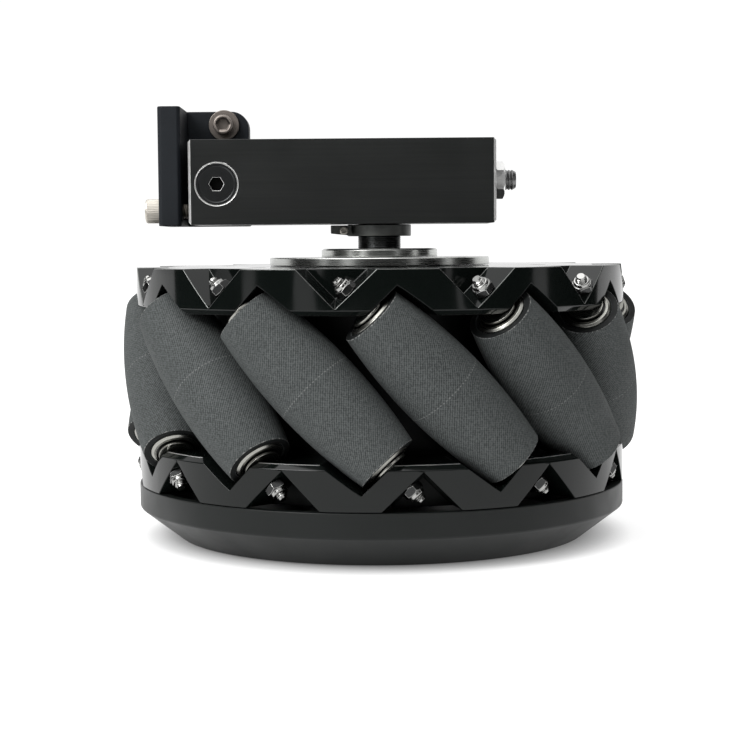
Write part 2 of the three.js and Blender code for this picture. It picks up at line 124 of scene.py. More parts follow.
# Flush screws: how many, on which radius, the radius and depth of their sinks and of their
# heads, and the angle in degrees of the first one
RIM_SCREWS = {"count": 6, "ring_r": 63.7, "sink_r": 3.1, "sink": 1.9, "head_r": 2.95,
              "head": 1.7}
COVER_SCREWS = {"count": 6, "ring_r": 62, "sink_r": 4.1, "sink": 2.4, "head_r": 3.95,
                "head": 2.2}
END_SCREWS = {"count": 6, "ring_r": 33, "sink_r": 2.3, "sink": 1.4, "head_r": 2.2, "head": 1.2,
              "first": 12}
CAP_SCREWS = {"count": 4, "ring_r": 15.6, "sink_r": 1.7, "sink": 1.1, "head_r": 1.62,
              "head": 0.9, "first": -20, "segments": 20}

# Metals: their colour, and their lowest and highest roughness
TURNED_METALS = {
    "roller_steel": ((0.36, 0.358, 0.33), 0.2, 0.34),
    "stainless": ((0.52, 0.49, 0.44), 0.3, 0.45),
    # painted shade: a darker copy of the stainless, for the lug screw and its washer
    "stainless_painted_shade": ((0.3, 0.265, 0.24), 0.35, 0.5),
    "dark_steel": ((0.05, 0.052, 0.053), 0.25, 0.4),
    "collar_steel": ((0.13, 0.135, 0.13), 0.35, 0.5),
    "stud_steel": ((0.2, 0.2, 0.2), 0.25, 0.4),
    "end_cover_dark": ((0.56, 0.57, 0.55), 0.2, 0.3),
    "shield": ((0.09, 0.09, 0.09), 0.35, 0.5),
    # painted shade: near-black inside the pivot screw's socket
    "socket_painted_shade": ((0.008, 0.008, 0.008), 0.5, 0.7),
    "bearing_steel": ((0.6, 0.6, 0.6), 0.15, 0.3),
}
PLAIN_METALS = {
    "axle_zinc": ((0.045, 0.046, 0.046), 0.2, 0.3),
    "bright_zinc": ((0.85, 0.85, 0.84), 0.28, 0.4),
    # the axles' own zinc, and a painted highlight on the axle nuts' rounded edges
    "zinc_and_edge_highlight": ((0.36, 0.36, 0.35), 0.15, 0.25),
    # painted highlight: a lighter metal on the upper rim's up-facing edges and crest
    "rim_edge_highlight": ((0.13, 0.135, 0.13), 0.25, 0.35),
    # painted highlights: bright aluminium on the lower rim's crest, and arm and pivot screw edges
    "painted_highlight_aluminium": ((0.85, 0.85, 0.84), 0.42, 0.5),
    "bronze": ((0.5, 0.33, 0.12), 0.25, 0.4),
    "magnet": ((0.3, 0.3, 0.31), 0.2, 0.35),
    "laminations": ((0.2, 0.2, 0.21), 0.4, 0.6),
}

# The black cards: where they start and end, in degrees round from the front of the table, and
# how high they reach, in metres
FLAGS = [(-105, -62, 1), (-56, -38, 0.5), (-28, 33, 0.5), (36, 70, 1.6), (78, 115, 1.6)]


# ---------------------------------------------------------------- meshes

def new_mesh(name, bm, sharp=32):
    bmesh.ops.recalc_face_normals(bm, faces=bm.faces)
    mesh = bpy.data.meshes.new(name)
    bm.to_mesh(mesh)
    bm.free()
    finish_mesh(mesh, sharp)
    return mesh


def finish_mesh(mesh, sharp=32):
    mesh.polygons.foreach_set("use_smooth", [True] * len(mesh.polygons))
    mesh.set_sharp_from_angle(angle=math.radians(sharp))


def rounded(corners, steps=4):
    """An outline in which each corner given with a radius, (r, z, radius), becomes an arc."""
    outline = []
    for k, corner in enumerate(corners):
        here = Vector(corner[:2])
        if len(corner) == 2:
            outline.append(tuple(here))
            continue
        before = (Vector(corners[k - 1][:2]) - here).normalized()
        after = (Vector(corners[(k + 1) % len(corners)][:2]) - here).normalized()
        half = before.angle(after) / 2
        radius = corner[2]
        centre = here + (before + after).normalized() * radius / math.sin(half)
        start = here + before * radius / math.tan(half) - centre
        end = here + after * radius / math.tan(half) - centre
        for i in range(steps + 1):
            arm = start.lerp(end, i / steps).normalized() * radius
            outline.append(tuple(centre + arm))
    return outline


def thread(r, low, high, pitch, deep=0.6):
    """The side of a threaded stretch, from one height up to another. Its depth is given in
    pitches."""
    crest_start, crest_end = 0.42, 0.58
    depth = deep * pitch
    turns = round((high - low) / pitch)
    step = (high - low) / turns
    outline = []
    for k in range(turns):
        z = low + k * step
        outline += [(r - depth, z), (r, z + crest_start * step), (r, z + crest_end * step)]
    return outline + [(r - depth, high)]


def sweep(name, profile_at, segments, finishes=None, sharp=32):
    """Turns a profile about Z. profile_at(angle) gives (radius, height) points; a profile that
    starts and ends at radius 0 closes on the axis, and any other closes on itself. finishes
    gives the material index of each strip. UV is the turn, and the way along the profile from
    its middle in millimetres."""
    bm = bmesh.new()
    first = profile_at(0)
    on_axis = abs(first[0][0]) < 1e-9 and abs(first[-1][0]) < 1e-9
    poles = {}
    if on_axis:
        poles = {0: bm.verts.new((0, 0, first[0][1])),
                 len(first) - 1: bm.verts.new((0, 0, first[-1][1]))}
    rings = []
    for step in range(segments):
        angle = math.tau * step / segments
        points = profile_at(angle)
        ring = []
        for index, (r, z) in enumerate(points):
            at = (r * math.cos(angle), r * math.sin(angle), z)
            ring.append(poles[index] if index in poles else bm.verts.new(at))
        rings.append(ring)
    lengths = [0.0]
    for (r0, z0), (r1, z1) in zip(first, first[1:] + first[:1]):
        lengths.append(lengths[-1] + math.hypot(r1 - r0, z1 - z0))
    middle = lengths[len(first) - 1] / 2
    uv = bm.loops.layers.uv.new("UVMap")
    strips = len(first) - 1 if on_axis else len(first)
    for step in range(segments):
        here, after = rings[step], rings[(step + 1) % segments]
        for k in range(strips):
            k1 = (k + 1) % len(first)
            corners = [(here[k], 0, 0), (after[k], 1, 0), (after[k1], 1, 1), (here[k1], 0, 1)]
            unique = []
            for corner in corners:
                if corner[0] not in [u[0] for u in unique]:
                    unique.append(corner)
            face = bm.faces.new([c[0] for c in unique])
            face.material_index = finishes[k] if finishes else 0
            for loop, (_, du, dv) in zip(face.loops, unique):
                loop[uv].uv = ((step + du) / segments, lengths[k + dv] - middle)
    return new_mesh(name, bm, sharp)


def lathe(name, profile, segments=96, finishes=None, sharp=32):
    return sweep(name, lambda angle: profile, segments, finishes, sharp)


def loft(name, rings):
    """A closed body through rings of points, with flat ends."""
    bm = bmesh.new()
    loops = [[bm.verts.new(point) for point in ring] for ring in rings]
    bm.faces.new(loops[0])
    bm.faces.new(loops[-1])
    count = len(loops[0])
    for here, after in zip(loops, loops[1:]):
        for k in range(count):
            k1 = (k + 1) % count
            bm.faces.new([here[k], here[k1], after[k1], after[k]])
    return new_mesh(name, bm)


def prism(name, points, low, high):
    return loft(name, [[(x, y, z) for x, y in points] for z in (low, high)])


def box(name, low, high):
    points = [(low[0], low[1]), (high[0], low[1]), (high[0], high[1]), (low[0], high[1])]
    return prism(name, points, low[2], high[2])


def hexagon(name, flats, low, high):
    """A six-sided bar, flats across its flats."""
    r = flats / math.sqrt(3)
    return prism(name, [(r * math.cos(k * math.pi / 3), r * math.sin(k * math.pi / 3))
                        for k in range(6)], low, high)


def bar_along_x(name, low, high, bevel):
    """A square bar with its ends bevelled."""
    def section(x, inset):
        y0, y1, z0, z1 = low.y + inset, high.y - inset, low.z + inset, high.z - inset
        return [(x, y0, z0), (x, y1, z0), (x, y1, z1), (x, y0, z1)]
    return loft(name, [section(low.x, bevel), section(low.x + bevel, 0),
                       section(high.x - bevel, 0), section(high.x, bevel)])


def cylinder(name, r, low, high, segments=64):
    return lathe(name, [(0, low), (r, low), (r, high), (0, high)], segments)


def moved(mesh, matrix):
    mesh.transform(matrix)
    return mesh


def turn(angle, axis):
    return Matrix.Rotation(angle, 4, axis)


def shift(x=0, y=0, z=0):
    return Matrix.Translation((x, y, z))


ALONG_X = turn(math.pi / 2, "Y")
ALONG_Y = turn(-math.pi / 2, "X")


def ring_of(count, r, z, phase=0.0, flip=False):
    """Places round the wheel's axis, with Z up or, flipped, down."""
    over = turn(math.pi, "X") if flip else Matrix.Identity(4)
    return [turn(phase + math.tau * k / count, "Z") @ shift(r, 0, z) @ over for k in range(count)]


def roller_place(joint):
    """Where a roller stands: Z along its axis, and Y towards the wheel's axis."""
    at = Vector(joint["pos_m"]) / MM
    along = Vector(joint["axis"]).normalized()
    inward = -Vector((at.x, at.y, 0)).normalized()
    side = inward.cross(along)
    turned = Matrix((side, inward, along)).transposed().to_4x4()
    return Matrix.Translation(at) @ turned


def evaluated(obj):
    graph = bpy.context.evaluated_depsgraph_get()
    return bpy.data.meshes.new_from_object(obj.evaluated_get(graph))


def combine(mesh, tool, operation):
    """Cuts, joins or intersects two closed meshes."""
    first = bpy.data.objects.new("first", mesh)
    second = bpy.data.objects.new("second", tool)
    for obj in (first, second):
        bpy.context.scene.collection.objects.link(obj)
    step = first.modifiers.new("step", "BOOLEAN")
    step.object = second
    step.operation = operation
    step.solver = "MANIFOLD"
    result = evaluated(first)
    for obj in (first, second):
        bpy.data.objects.remove(obj)
    return result


def carve(mesh, tools):
    for tool in tools:
        mesh = combine(mesh, tool, "DIFFERENCE")
    return mesh


def soften(mesh, width, weld=0.05):
    """Rounds every sharp edge of a mesh by a small width, and gives the rounds material 1."""
    mesh.materials.clear()
    for _ in range(2):
        mesh.materials.append(None)
    obj = bpy.data.objects.new("soft", mesh)
    bpy.context.scene.collection.objects.link(obj)
    step = obj.modifiers.new("weld", "WELD")
    step.merge_threshold = weld
    step = obj.modifiers.new("round", "BEVEL")
    step.width = width
    step.segments = 2
    step.limit_method = "ANGLE"
    step.angle_limit = math.radians(28)
    step.material = 1
    step.use_clamp_overlap = False
    result = evaluated(obj)
    bpy.data.objects.remove(obj)
    finish_mesh(result, 50)
    return result


def repaint(mesh, finish_of):
    """Gives every face the material index that a function picks for it."""
    for face in mesh.polygons:
        face.material_index = int(finish_of(face))


def piece(name, mesh, body, materials, replaces=(), matrix=Matrix.Identity(4)):
    """Makes one piece from a mesh in millimetres, which other pieces may use again."""
    mesh = mesh.copy()
    mesh.transform(Matrix.Scale(MM, 4) @ matrix)
    finishes = [min(face.material_index, len(materials) - 1) for face in mesh.polygons]
    mesh.materials.clear()
    for material in materials:
        mesh.materials.append(material)
    mesh.polygons.foreach_set("material_index", finishes)
    obj = bpy.data.objects.new(name, mesh)
    bpy.context.scene.collection.objects.link(obj)
    shading = obj.modifiers.new("shading", "WEIGHTED_NORMAL")
    shading.keep_sharp = True
    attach(obj, body)
    if replaces:
        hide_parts(*replaces)
    return obj


# ---------------------------------------------------- nuts and screws

def hex_nut(flats, bore, low, high, collar_r=0, collar_high=0):
    """A hexagon whose corners are turned off at both ends, with or without a round collar."""
    corner, face = flats / math.sqrt(3) + 0.1, 0.47 * flats
    slope = 0.55
    drop = slope * (corner - face)
    barrel = lathe("barrel", [(0, low), (face, low), (corner, low + drop),
                              (corner, high - drop), (face, high), (0, high)], 96)
    body = combine(hexagon("nut", flats, low, high), barrel, "INTERSECT")
    if collar_r:
        root = high - 0.5
        collar = [(0, root), (collar_r, root), (collar_r, collar_high, 0.5), (0, collar_high)]
        body = combine(body, lathe("collar", rounded(collar), 48), "UNION")
    body = carve(body, [cylinder("bore", bore, low - 1, high + 3, 32)])
    nut = soften(body, 0.09, weld=0.01)
    # Material 1 on the rounded edges and the collar: for the axle nuts, lighter zinc as a painted
    # highlight.
    repaint(nut, lambda face: face.material_index or face.center.z > high + 0.1)
    return nut


def cap_screw(head_r, head_height, shank_r, length, pitch, ridges):
    """A socket screw with a knurled head, drawn with the head's seat at 0 and its point ahead."""
    top, plain_r, tip, knurl_deep = -head_height, head_r - 0.14, 0.6, 0.07
    socket_flats = shank_r * 5 / 3

    def profile(angle):
        knurl_r = head_r - knurl_deep * (1 - math.cos(ridges * angle))
        return [(0, top), (head_r - 0.7, top), (head_r - 0.25, top + 0.15), (plain_r, top + 0.5),
                (knurl_r, top + 0.7), (knurl_r, -0.5), (plain_r, -0.3), (head_r - 0.3, 0),
                (shank_r, 0), *thread(shank_r, 0.3, length - 0.5, pitch), (shank_r - tip, length),
                (0, length)]
    body = sweep("cap_screw", profile, ridges * 6, sharp=40)
    return carve(body, [hexagon("socket", socket_flats, top - 1, top / 2)])


def flush_screw(head_r, depth):
    """The head of a screw that sits in a sink, drawn with the sink's edge at 0."""
    top = -0.08
    corners = [(0, -depth), (head_r, -depth), (head_r, top, 0.15), (0, top)]
    body = lathe("flush_screw", rounded(corners), 48)
    return carve(body, [hexagon("socket", head_r * 0.95, -depth * 0.7, 1)])


def screw_places(screws, z, flip=False):
    first = math.radians(screws.get("first", 0))
    return ring_of(screws["count"], screws["ring_r"], z, first, flip)


def sink_heads(mesh, screws, places):
    """Cuts a sink for a flush screw at each place."""
    segments = screws.get("segments", 24)
    sink = cylinder("sink", screws["sink_r"], -screws["sink"], 1, segments)
    return carve(mesh, [moved(sink.copy(), place) for place in places])


def add_flush_screws(name, screws, places, steel):
    screw = flush_screw(screws["head_r"], screws["head"])
    for k, place in enumerate(places):
        piece(f"{name}_screw_{k + 1}", screw, "wheel", [steel], (), place)


# ------------------------------------------------------------- materials

class Shader:
    """A node material with a principled shader and a few short ways to add to it."""

    def __init__(self, name, color, roughness, metallic=0.0, **sockets):
        self.material = bpy.data.materials.new(name)
        self.material.use_nodes = True
        self.tree = self.material.node_tree
        self.shader = self.tree.nodes["Principled BSDF"]
        self.set("Base Color", (*color, 1))
        self.set("Roughness", roughness)
        self.set("Metallic", metallic)
        for socket, value in sockets.items():
            self.set(socket.replace("_", " "), value)
        self.coords = self.tree.nodes.new("ShaderNodeTexCoord")

    def set(self, socket, value):
        self.shader.inputs[socket].default_value = value

    def node(self, kind, **inputs):
        made = self.tree.nodes.new(kind)
        for key, value in inputs.items():
            socket = made.inputs[key.replace("_", " ")]
            if isinstance(value, bpy.types.NodeSocket):
                self.tree.links.new(value, socket)
            else:
                socket.default_value = value
        return made

    def math(self, operation, a, b=0.0):
        made = self.tree.nodes.new("ShaderNodeMath")
        made.operation = operation
        for index, value in enumerate((a, b)):
            if isinstance(value, bpy.types.NodeSocket):
                self.tree.links.new(value, made.inputs[index])
            else:
                made.inputs[index].default_value = value
        return made.outputs[0]

    def stretched(self, scale, source="Object"):
        return self.node("ShaderNodeMapping", Vector=self.coords.outputs[source],
                         Scale=scale).outputs[0]

    def noise(self, scale, detail=3, vector=None):
        vector = vector or self.coords.outputs["Object"]
        return self.node("ShaderNodeTexNoise", Vector=vector, Scale=scale, Detail=detail,
                         Roughness=0.55).outputs[0]

    def between(self, factor, low, high):
        """Stretches the range that a noise mostly keeps to, 0.3 to 0.7, from low to high."""
        return self.node("ShaderNodeMapRange", Value=factor, From_Min=0.3, From_Max=0.7,
                         To_Min=low, To_Max=high).outputs[0]

    def blend(self, factor, first, second):
        """Mixes two colours, which are either triples or other nodes' outputs."""
        made = self.tree.nodes.new("ShaderNodeMix")
        made.data_type = "RGBA"
        self.tree.links.new(factor, made.inputs[0])
        color_a, color_b = made.inputs[6:8]
        for socket, value in ((color_a, first), (color_b, second)):
            if isinstance(value, bpy.types.NodeSocket):
                self.tree.links.new(value, socket)
            else:
                socket.default_value = (*value, 1)
        return made.outputs[2]

    def link(self, output, socket):
        self.tree.links.new(output, self.shader.inputs[socket])

    def bump(self, height, distance, strength=1.0):
        made = self.node("ShaderNodeBump", Height=height, Distance=distance, Strength=strength)
        self.link(made.outputs[0], "Normal")
        return self


def worn(shader, low, high, scale, bump):
    """Roughness that varies softly, with a faint unevenness of the surface."""
    spots = shader.noise(scale, 4)
    shader.link(shader.between(spots, low, high), "Roughness")
    if bump:
        shader.bump(shader.noise(scale * 12, 2), bump, 0.6)
    return shader.material


def tyre_half_length():
    """From a roller's middle to its edge, along the curved outline."""
    outline = [Vector(point) for point in roller_outline()]
    return sum((b - a).length for a, b in zip(outline, outline[1:])) / 2


def make_rubber():
    """Charcoal rubber with a fine weave, a dotted seam round the middle, dusty patches and
    pale flecks along the edge."""
    threads, row, seam_half, seam_dots, fray = 84, 1.15, 0.2, 70, 0.3
    shader = Shader("roller_rubber", (0.085, 0.089, 0.09), 0.78, Specular_IOR_Level=0.22)
    uv = shader.node("ShaderNodeSeparateXYZ", Vector=shader.coords.outputs["UV"])
    around, along = uv.outputs[:2]
    turns = shader.math("MULTIPLY", around, math.tau * threads)
    rows = shader.math("MULTIPLY", along, math.tau / row)
    main = shader.math("SINE", shader.math("SUBTRACT", turns, rows))
    cross = shader.math("SINE", shader.math("ADD", turns, rows))
    weave = shader.math("ADD", main, shader.math("MULTIPLY", cross, 0.35))
    grain = shader.noise(1300, 3)
    patches = shader.noise(55, 4)
    lit = shader.math("ADD", shader.math("MULTIPLY", weave, 0.16), grain)
    fine = shader.blend(shader.between(lit, 0, 1), (0.029, 0.032, 0.0318), (0.091, 0.099, 0.098))
    dusty = shader.blend(shader.between(patches, 0, 0.2), fine, (0.063, 0.069, 0.069))
    from_middle = shader.math("ABSOLUTE", along)
    in_seam = shader.math("LESS_THAN", from_middle, seam_half)
    dot_wave = shader.math("SINE", shader.math("MULTIPLY", around, math.tau * seam_dots))
    dots = shader.math("MULTIPLY", in_seam, shader.math("GREATER_THAN", dot_wave, 0.1))
    marked = shader.blend(shader.math("MULTIPLY", dots, 0.6), dusty, (0.19, 0.195, 0.19))
    from_edge = shader.math("ABSOLUTE", shader.math("SUBTRACT", from_middle, tyre_half_length()))
    flecks = shader.math("MULTIPLY", shader.math("LESS_THAN", from_edge, fray),
                         shader.between(shader.noise(1300, 2), -1.2, 1.6))
    shader.link(shader.blend(shader.math("MULTIPLY", flecks, 0.6), marked, (0.3, 0.3, 0.29)),
                "Base Color")
    shader.link(shader.between(patches, 0.7, 0.86), "Roughness")
    shader.bump(shader.math("ADD", shader.math("MULTIPLY", weave, 0.3), grain), 0.0001, 0.7)
    return shader.material


def make_end_rubber_and_shade():
    """The rollers' flat ends: smoother than their barrels, and darker, partly for the smooth
    rubber and partly as painted shade in the gap by the rim.
    """
    shader = Shader("end_rubber_and_shade", (0.009, 0.01, 0.01), 0.55, Specular_IOR_Level=0.2)
    return worn(shader, 0.45, 0.65, 300, 0.00002)


def make_drum():
    """Black paint on the motor's shell, duller than the rims; on the lower rim's pocket floors it
    stands in as painted shade.
    """
    shader = Shader("drum_and_pocket_shade_paint", (0.004, 0.005, 0.0048), 0.5, Specular_IOR_Level=0.12)
    return worn(shader, 0.4, 0.55, 80, 0.00001)


def make_gloss_black():
    """Gloss black paint on the rims, almost even."""
    shader = Shader("rim_gloss", (0.0035, 0.0048, 0.0043), 0.09, Specular_IOR_Level=0.27)
    return worn(shader, 0.07, 0.13, 40, 0.0000005)


def make_cover():
    """Satin anodised aluminium, turned: fine rings round the wheel's axis."""
    shader = Shader("cover_satin", (0.007, 0.0085, 0.008), 0.4, Specular_IOR_Level=0.24)
    shader.link(shader.between(shader.noise(50, 4), 0.34, 0.46), "Roughness")
    rings = shader.noise(2.2, 2, shader.stretched((0.001, 1, 1), "UV"))
    return shader.bump(rings, 0.00001, 0.5).material


def make_arm():
    """Black anodised drawn bar: a faint grain along the bar."""
    shader = Shader("arm_black", (0.01, 0.011, 0.0105), 0.38, Specular_IOR_Level=0.33)
    grain = shader.noise(1100, 4, shader.stretched((0.02, 1, 1)))
    clouds = shader.noise(30, 3)
    shade = shader.blend(shader.between(grain, 0, 1), (0.0078, 0.0088, 0.0084),
                         (0.0115, 0.0127, 0.0122))
    shader.link(shade, "Base Color")
    shader.link(shader.between(clouds, 0.33, 0.43), "Roughness")
    return shader.bump(grain, 0.000012, 0.5).material


def make_bracket():
    """Bead blasted and anodised, slightly blue."""
    shader = Shader("bracket_black", (0.01, 0.0125, 0.016), 0.55, Specular_IOR_Level=0.22)
    grit = shader.noise(2600, 2)
    shade = shader.blend(shader.between(shader.noise(45, 3), 0, 1), (0.007, 0.0088, 0.0115),
                         (0.0105, 0.013, 0.0165))
    shader.link(shade, "Base Color")
    shader.link(shader.between(grit, 0.48, 0.64), "Roughness")
    return shader.bump(grit, 0.00004, 0.5).material


def make_metal(name, color, low, high, rings=True):
    """Bare metal. A turned piece shows fine rings, any other only soft patches."""
    shader = Shader(name, color, low, metallic=1.0)
    if rings:
        marks = shader.noise(3.5, 3, shader.stretched((0.001, 1, 1), "UV"))
    else:
        marks = shader.noise(400, 2, shader.stretched((1, 0.15, 1)))
    dull = tuple(0.8 * c for c in color)
    shader.link(shader.blend(shader.between(shader.noise(160, 2), 0, 0.6), color, dull),
                "Base Color")
    shader.link(shader.between(marks, low, high), "Roughness")
    return shader.bump(marks, 0.000008, 0.5).material if rings else shader.material


def make_copper():
    """Enamelled wire: close turns round each coil."""
    shader = Shader("copper", (0.6, 0.25, 0.1), 0.3, metallic=1.0)
    uv = shader.node("ShaderNodeSeparateXYZ", Vector=shader.coords.outputs["UV"])
    turns = shader.math("SINE", shader.math("MULTIPLY", uv.outputs[1], math.tau * 1.2))
    return shader.bump(turns, 0.0003, 0.7).material


# ------------------------------------------------------------- rollers

def roller_outline(steps=48):
    """The barrel's outline: the circle that each turn of it shares with the wheel's cylinder."""
    outline = []
    for i in range(steps + 1):
        along = CONTACT_HALF * (2 * i / steps - 1)
        side = along * math.sin(TILT)
        rho = math.hypot(ROLLER_AXIS_R, side)
        reach = WHEEL_R - rho
        lean = side / rho * math.sin(TILT)
        outline.append((reach * math.sqrt(1 - lean * lean), along + reach * lean))
    return outline


def make_tyre():
    outline = roller_outline()
    (end_r, low), high = outline[0], outline[-1][1]
    bore, chamfer, edge = CORE_R + GAP, 0.3, 0.22
    corners = [(bore, low + chamfer), (bore + chamfer, low), (end_r, low, edge), *outline[1:-1],
               (end_r, high, edge), (bore + chamfer, high), (bore, high - chamfer)]
    profile = rounded(corners)
    flat_end = high - 0.05
    # Material 1 on the flat ends: the darker end rubber, partly painted shade.
    finishes = []
    for (_, z0), (_, z1) in zip(profile, profile[1:] + profile[:1]):
        finishes.append(1 if min(abs(z0), abs(z1)) > flat_end else 0)
    return lathe("tyre", profile, 112, finishes, sharp=60)


def make_core(half):
    """The roller's hub, with a broad rounded ring round a sunk face at both ends."""
    end = half + CORE_OUT
    bore, ring_in, ring_out, sunk_by = 2.4, 7.3, 8.3, 0.8
    upper = rounded([(CORE_R, end - 2 * sunk_by), (CORE_R, end - CORE_OUT, 0.3),
                     (ring_out, end, 0.5), (ring_in, end, 0.15), (ring_in - 0.1, end - sunk_by),
                     (bore, end - sunk_by)])
    lower = [(r, -z) for r, z in reversed(upper)]
    profile = upper + lower
    finishes = []
    for (r0, z0), (r1, z1) in zip(profile, profile[1:] + profile[:1]):
        sunk = min(abs(z0), abs(z1)) < end - 0.2 and max(r0, r1) < ring_in + 0.1
        finishes.append(1 if sunk else 0)
    return lathe("core", profile, 64, finishes)


def make_axle():
    """A bolt through the roller, threaded at both ends."""
    shank_end, thread_start, tip, tip_r = 47.2, 47.4, 0.7, 1.4
    upper = [(AXLE_R, shank_end), *thread(AXLE_R, thread_start, AXLE_END - tip, pitch=0.7),
             (tip_r, AXLE_END), (0, AXLE_END)]
    lower = [(r, -z) for r, z in reversed(upper)]
    return lathe("axle", lower + upper, 24)


def make_spacer(half):
    """The ring between a roller's core and the rim's wall."""
    low, high = half + CORE_OUT + GAP, WALL_IN - GAP
    return lathe("spacer", rounded([(AXLE_BORE_R, low), (SPACER_R, low, 0.3),
                                    (SPACER_R, high, 0.15), (AXLE_BORE_R, high)]), 64)


def add_rollers(rubber, end_rubber_and_shade, steel, zinc, bright, shield):
    half = roller_outline()[-1][1]
    tyre, core, axle, spacer = make_tyre(), make_core(half), make_axle(), make_spacer(half)
    nut = hex_nut(flats=7, bore=AXLE_BORE_R, low=47.9, high=50.8, collar_r=3, collar_high=52.1)
    for number in NUMBERS:
        place = roller_place(JOINTS[f"roller_spin_{number}"])
        flipped = place @ turn(math.pi, "Y")
        body = f"roller_{number}"
        axle_node = f"roller_axle_{number}"
        piece(f"tyre_{number}", tyre, body, [rubber, end_rubber_and_shade],
              [f"roller_tyre_{number}"], place)
        piece(f"core_{number}", core, body, [steel, shield],
              [f"roller_core_{number}"], place)
        piece(f"axle_{number}", axle, "wheel", [bright], [axle_node], place)
        for side, matrix in (("upper", place), ("lower", flipped)):
            # The nuts' rounded edges get the lighter zinc, a painted highlight.
            piece(f"axle_nut_{side}_{number}", nut, "wheel", [zinc, bright],
                  [axle_node], matrix)
            piece(f"spacer_{side}_{number}", spacer, "wheel", [steel],
                  [axle_node], matrix)


# --------------------------------------------------------------- the rims

def across_tool(points, inner):
    """A cutting tool drawn along and across a roller's axle, and driven in from outside."""
    turned = [(across * math.cos(TILT) - along * math.sin(TILT),
               across * math.sin(TILT) + along * math.cos(TILT)) for along, across in points]
    return moved(prism("tool", turned, inner, WHEEL_R + FAR), turn(math.pi / 2, "X"))


def notch_tool():
    reach = WALL_IN + FAR
    return across_tool([(WALL_IN, NOTCH_SIDE), (WALL_IN - reach, NOTCH_SIDE + reach * NOTCH_FLARE),
                        (WALL_IN - reach, -FAR), (WALL_IN, -FAR)], NOTCH_FLOOR_R)


def pocket_tool():
    """One side is square to this roller's axle, and one runs along the last roller's axle."""
    square = across_tool([(WALL_OUT, FAR), (WALL_OUT, -FAR), (WALL_OUT + FAR, -FAR),
                          (WALL_OUT + FAR, FAR)], FAR)
    along = across_tool([(FAR, FAR * 2), (-FAR, FAR * 2), (-FAR, POCKET_SIDE),
                         (FAR, POCKET_SIDE)], FAR)
    both = combine(square, moved(along, turn(-PITCH, "Z")), "INTERSECT")
    return combine(both, cylinder("floor", POCKET_FLOOR_R, -FAR, FAR, 192), "DIFFERENCE")


def axle_hole_tool():
    hole = cylinder("hole", AXLE_HOLE_R, WALL_IN - 1, WALL_OUT + 1, 32)
    return moved(hole, shift(y=-ROLLER_AXIS_R) @ turn(-TILT, "Y"))


def rim_painted_light(face):
    """2 is a pocket's floor, where the lower rim gets painted shade; 3 the crest of the band, and
    1 any other edge that looks up, where lighter metal paints highlights.
    """
    out, slack = face.center.xy, 0.6
    faces_out = out.dot(face.normal.xy) > 0.9 * out.length
    if faces_out and abs(out.length - POCKET_FLOOR_R) < slack:
        return 2
    if not face.material_index:
        return 0
    crest = face.center.z < BAND + 0.4 and out.length > RIM_R - BAND_CHAMFER - slack
    if crest and abs(out.normalized().cross(face.normal.xy)) < 0.1:
        return 3
    return 1 if face.normal.z > 0.15 else 0


def make_rim():
    inner = DRUM_R + GAP
    profile = [(RIM_BORE_R, HALF - RIM_WEB), (inner, HALF - RIM_WEB), (inner, BAND),
               (RIM_R - BAND_CHAMFER, BAND), (RIM_R, BAND + BAND_CHAMFER), (RIM_R, HALF),
               (RIM_BORE_R, HALF)]
    tools = []
    for tool in (notch_tool(), pocket_tool(), axle_hole_tool()):
        tools += [moved(tool.copy(), turn(k * PITCH, "Z")) for k in range(len(NUMBERS))]
    rim = carve(lathe("rim", profile, 192), tools)
    rim = sink_heads(rim, RIM_SCREWS, screw_places(RIM_SCREWS, HALF))
    rim = soften(rim, 0.25, weld=0.4)
    repaint(rim, rim_painted_light)
    return rim


def add_rims(gloss, edge, dull, highlight_metal, steel):
    rim = make_rim()
    first = roller_place(JOINTS["roller_spin_01"]).translation
    angle = math.atan2(first.x, -first.y)
    upper = shift(z=MID) @ turn(angle, "Z")
    lower = upper @ turn(math.pi, "Y")
    # Painted highlights: lighter metal on the upper rim's up-facing edges and crest, and bright
    # aluminium on the lower rim's crest. Painted shade: duller paint on the lower rim's pocket
    # floors.
    for name, matrix, finishes in (("inner_rim", upper, [gloss, edge, gloss, edge]),
                                   ("outer_rim", lower, [gloss, gloss, dull, highlight_metal])):
        piece(f"{name}_fine", rim, "wheel", finishes, [name], matrix)
        places = [matrix @ place for place in screw_places(RIM_SCREWS, HALF)]
        add_flush_screws(name, RIM_SCREWS, places, steel)


# ------------------------------------------------- drum, covers and shaft

def add_cover(satin, steel):
    high = COVER_HIGH.z
    inner, wall, floor = RIM_R - 4, 2, 4
    corners = [(0, 0), (COVER_FLAT_R, 0, 1.5), (RIM_R, COVER_CREASE, 1.2), (RIM_R, high, 0.4),
               (inner, high, 0.4), (inner, COVER_CREASE + wall), (COVER_FLAT_R - wall, floor),
               (0, floor)]
    places = screw_places(COVER_SCREWS, 0, flip=True)
    cover = sink_heads(lathe("cover", rounded(corners), 192), COVER_SCREWS, places)
    piece("cover", cover, "wheel", [satin], ["wheel_cover"])
    add_flush_screws("cover", COVER_SCREWS, places, steel)


def add_drum(gloss):
    low, high = (corner.z for corner in box_mm("hub_drum"))
    inner = DRUM_R - 4.5
    corners = [(inner, low, 0.3), (DRUM_R, low, 0.5), (DRUM_R, high, 0.5), (inner, high, 0.3)]
    piece("drum", lathe("drum", rounded(corners), 192), "wheel", [gloss],
          ["hub_drum"])


